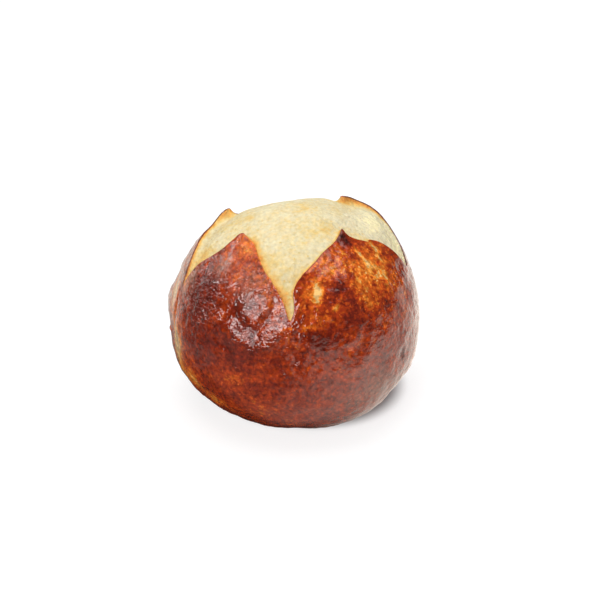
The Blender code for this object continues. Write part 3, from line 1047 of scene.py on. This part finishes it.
def crust_material():
    made, tree, shader = new_material("crust_gloss", CRUST_SOCKETS)
    parts = {name: noise_of(tree, texture) for name, texture in CRUST_TEXTURES.items()}
    parts["matt"] = attribute(tree, "matt")
    # A greyer colour is mixed into the crust: partly paler crust, partly painted sheen.
    pale_sheen = remap(tree, parts["streaks"], *PALE_SHEEN_STREAKS, *PALE_SHEEN_SHARES)
    pale_sheen = times(tree, attribute(tree, "pale_sheen"), pale_sheen)
    colour = mixed(tree, pale_sheen, tone_ramp(tree, crust_tone(tree, parts), CRUST_TONES), PALE_SHEEN_COLOUR)
    tree.links.new(grained(tree, colour, CRUST_GRAIN), shader.inputs["Base Color"])
    rough = plus(tree, add_up(tree, parts, ROUGHNESS_WEIGHTS), CRUST_ROUGHNESS)
    tree.links.new(rough, shader.inputs["Roughness"])
    add_bump(tree, shader, crust_height(tree, parts), CRUST_BUMP)
    return made


def crumb_pores(tree):
    """1 in the middle of scattered round pores."""
    inputs = {"Vector": object_place(tree), "Scale": 1.0 / PORE_SPACING, "Randomness": 1.0}
    cells = add_node(tree, "TexVoronoi", inputs, feature="F1")
    spot = remap(tree, cells.outputs["Distance"], PORE_SIZE, PORE_SIZE * PORE_CORE)
    draw = add_node(tree, "SeparateColor", {"Color": cells.outputs["Color"]}).outputs[0]
    return times(tree, spot, remap(tree, draw, PORES_KEPT, 0.0))


def crumb_material():
    made, tree, shader = new_material("crumb_bread", CRUMB_SOCKETS)
    parts = {name: noise_of(tree, texture) for name, texture in CRUMB_TEXTURES.items()}
    # The pores sink the crumb through the bump, and darken its colour as painted shade.
    parts["pores"] = crumb_pores(tree)
    parts["tone"] = attribute(tree, "tone")
    uneven = plus(tree, times(tree, parts["clouds"], TOAST_CLOUDS), 1.0)
    parts["uneven"] = times(tree, attribute(tree, "toast"), uneven)
    tone = plus(tree, add_up(tree, parts, CRUMB_TONE_WEIGHTS), CRUMB_TONE)
    colour = grained(tree, tone_ramp(tree, tone, CRUMB_TONES), CRUMB_GRAIN)
    tree.links.new(colour, shader.inputs["Base Color"])
    add_bump(tree, shader, add_up(tree, parts, CRUMB_HEIGHT_WEIGHTS), CRUMB_BUMP)
    return made


# The stage
WHITE = (1.0, 1.0, 1.0, 1.0)
FLOOR_SIZE = 6.0
FLOOR_SOCKETS = {"Roughness": 0.9, "Specular IOR Level": 0.1}
FLOOR_COLOUR = (0.62, 0.62, 0.62, 1.0)  # as it lights the roll
FLOOR_SEEN = (0.30, 0.30, 0.30, 1.0)  # as the camera sees it, with the lift added
FLOOR_MIRRORED = (0.04, 0.04, 0.04, 1.0)  # as the crust mirrors it, with the glow added
# The lift keeps the floor's wide shadows pale. It grows with the distance from a point under the roll,
# and again far away, where the lamps don't reach.
LIFT_MIDDLE = (9.0 * MM, 2.0 * MM, 0.0)
LIFT_REACH = (25.0 * MM, 33.0 * MM)
LIFT_STRENGTHS = (0.078, 0.78)
FAR_LIFT = 0.3
FAR_REACH = (0.3, 1.5)
# The glow grows towards each side of the roll over the near stretch, and falls off by the loss over the
# far one. That to the front is stronger to the right than to the left.
Glow = namedtuple("Glow", "near far strength loss")
GLOW_COLOUR = (1.0, 0.94, 0.84, 1.0)
GLOW_RIGHT = Glow((0.0, 0.05), (0.07, 0.2), 1.45, 0.8)
GLOW_LEFT = Glow((-0.06, -0.08), (-0.09, -0.13), 0.35, 0.35)
GLOW_FRONT = Glow((-0.03, -0.045), (-0.08, -0.14), 1.0, 1.0)
GLOW_FRONT_SIDES = (-0.03, 0.065)
GLOW_FRONT_SHARES = (0.2, 2.0)
GLOW_BACK = (0.0, 0.08)
GLOW_BACK_STRENGTH = 0.9
SKY_AXIS = (0.64, -0.12, 0.76)  # the sky is brightest in this direction
SKY_RISE = (0.1, 1.0)  # it brightens from the first of these shares of that direction to the second
SKY_STRENGTHS = (0.05, 0.60)
SKY_MIRRORED = 0.2  # the share of it that is mirrored


def glow_towards(tree, place, glow):
    """One side's glow, by the place along the axis that points to it."""
    grown = remap(tree, place, *glow.near, 0.0, glow.strength)
    return calculate(tree, "SUBTRACT", grown, remap(tree, place, *glow.far, 0.0, glow.loss))


def floor_glow(tree):
    sides = add_node(tree, "SeparateXYZ", {"Vector": object_place(tree)}).outputs
    share = remap(tree, sides["X"], *GLOW_FRONT_SIDES, *GLOW_FRONT_SHARES)
    total = times(tree, glow_towards(tree, sides["Y"], GLOW_FRONT), share)
    back = remap(tree, sides["Y"], *GLOW_BACK, 0.0, GLOW_BACK_STRENGTH)
    right, left = (glow_towards(tree, sides["X"], glow) for glow in (GLOW_RIGHT, GLOW_LEFT))
    for glow in (right, left, back):
        total = calculate(tree, "MAXIMUM", total, glow)
    return total


def floor_lift(tree):
    inputs = {0: object_place(tree), 1: LIFT_MIDDLE}
    away = add_node(tree, "VectorMath", inputs, operation="DISTANCE").outputs["Value"]
    near = remap(tree, away, *LIFT_REACH, *LIFT_STRENGTHS)
    return plus(tree, near, remap(tree, away, *FAR_REACH, 0.0, FAR_LIFT))


def floor_material():
    made, tree, shader = new_material("floor_paper", FLOOR_SOCKETS)
    rays = add_node(tree, "LightPath", {}).outputs
    seen, mirrored = rays["Is Camera Ray"], rays["Is Glossy Ray"]
    lift = times(tree, seen, floor_lift(tree))
    own = plus(tree, lift, times(tree, mirrored, floor_glow(tree)))
    tree.links.new(own, shader.inputs["Emission Strength"])
    tree.links.new(mixed(tree, mirrored, WHITE, GLOW_COLOUR), shader.inputs["Emission Color"])
    unseen = mixed(tree, mirrored, FLOOR_COLOUR, FLOOR_MIRRORED)
    tree.links.new(mixed(tree, seen, unseen, FLOOR_SEEN), shader.inputs["Base Color"])
    return made


def make_floor():
    half = FLOOR_SIZE / 2
    corners = [(-half, -half, 0), (half, -half, 0), (half, half, 0), (-half, half, 0)]
    mesh = bpy.data.meshes.new("floor")
    mesh.from_pydata(corners, [], [(0, 1, 2, 3)])
    mesh.materials.append(floor_material())
    floor = bpy.data.objects.new("floor", mesh)
    bpy.context.scene.collection.objects.link(floor)


def make_world():
    """Soft light from overhead and the right that fades towards the left, before a white backdrop."""
    world = bpy.data.worlds.new("studio")
    world.use_nodes = True
    tree = world.node_tree
    inputs = {0: add_node(tree, "TexCoord", {}).outputs["Generated"], 1: SKY_AXIS}
    share = add_node(tree, "VectorMath", inputs, operation="DOT_PRODUCT").outputs["Value"]
    rays = add_node(tree, "LightPath", {}).outputs
    mirrored = remap(tree, rays["Is Glossy Ray"], 0.0, 1.0, 1.0, SKY_MIRRORED)
    strength = times(tree, remap(tree, share, *SKY_RISE, *SKY_STRENGTHS), mirrored)
    sky = tree.nodes["Background"]
    sky.inputs["Color"].default_value = WHITE
    tree.links.new(strength, sky.inputs["Strength"])
    backdrop = add_node(tree, "Background", {"Color": WHITE, "Strength": 1.0})
    inputs = {0: rays["Is Camera Ray"], 1: sky.outputs[0], 2: backdrop.outputs[0]}
    both = add_node(tree, "MixShader", inputs)
    tree.links.new(both.outputs[0], tree.nodes["World Output"].inputs["Surface"])
    bpy.context.scene.world = world


# Panels of light: some only light the scene, and the others are only mirrored in it
PANEL_DISTANCE = 0.9  # from the middle of the roll's widest level
Panel = namedtuple("Panel", "name azimuth elevation width height power lights")
PANELS = (
    Panel("window", 100.0, 76.0, 0.90, 0.80, 6.45, True),
    Panel("fill", -121.0, 28.0, 0.46, 0.72, 4.1, True),
    Panel("mirrored_front", -118.0, 28.0, 0.57, 0.54, 9.2, False),
    Panel("mirrored_high", -154.0, 60.0, 0.20, 0.20, 0.4, False),
    Panel("mirrored_flank", -174.0, 30.0, 0.10, 0.10, 0.9, False),
    Panel("mirrored_left", 155.0, 27.0, 0.28, 0.36, 1.15, False),
    Panel("mirrored_upper", 147.0, 52.0, 0.45, 0.36, 0.5, False),
    Panel("mirrored_top", -7.0, 76.0, 0.50, 0.50, 1.7, False),
)


def towards(azimuth, elevation):
    """The direction with this azimuth and this elevation above the horizon."""
    turn, rise = math.radians(azimuth), math.radians(elevation)
    return Vector((math.cos(rise) * math.cos(turn), math.cos(rise) * math.sin(turn), math.sin(rise)))


def make_lights():
    for panel in PANELS:
        light = bpy.data.lights.new(panel.name, "AREA")
        light.shape = "RECTANGLE"
        light.size, light.size_y = panel.width, panel.height
        light.energy = panel.power
        lamp = bpy.data.objects.new(panel.name, light)
        away = towards(panel.azimuth, panel.elevation)
        lamp.location = Vector((0.0, 0.0, GIRTH_HEIGHT)) + away * PANEL_DISTANCE
        lamp.rotation_mode = "QUATERNION"
        lamp.rotation_quaternion = away.to_track_quat("Z", "Y")
        lamp.visible_camera = False
        lamp.visible_diffuse = panel.lights
        lamp.visible_glossy = not panel.lights
        bpy.context.scene.collection.objects.link(lamp)


# The camera: in front and a little above, with the aim point at its place in the photograph's frame
FRAME_PIXELS = 600
SENSOR = 36.0
AIM_HEIGHT = 23.0 * MM
CAMERA_DISTANCE = 0.43
CAMERA_ELEVATION = 29.0
FOCAL_PIXELS = 1226.0
AIM_PIXEL = (293.9, 328.0)


def make_camera():
    rise = math.radians(CAMERA_ELEVATION)
    data = bpy.data.cameras.new("camera")
    data.sensor_width = SENSOR
    data.lens = SENSOR * FOCAL_PIXELS / FRAME_PIXELS
    data.shift_x = (FRAME_PIXELS / 2 - AIM_PIXEL[0]) / FRAME_PIXELS
    data.shift_y = (AIM_PIXEL[1] - FRAME_PIXELS / 2) / FRAME_PIXELS
    camera = bpy.data.objects.new("camera", data)
    back = Vector((0.0, -math.cos(rise), math.sin(rise)))
    camera.location = Vector((0.0, 0.0, AIM_HEIGHT)) + back * CAMERA_DISTANCE
    camera.rotation_mode = "QUATERNION"
    camera.rotation_quaternion = back.to_track_quat("Z", "Y")
    bpy.context.scene.collection.objects.link(camera)
    bpy.context.scene.camera = camera


def main():
    rng = random.Random(SEED)
    bpy.context.scene.view_settings.view_transform = "Standard"
    make_camera()
    make_floor()
    make_world()
    make_lights()
    star = Star()
    make_crust(star, rng)
    make_crumb(star)


main()
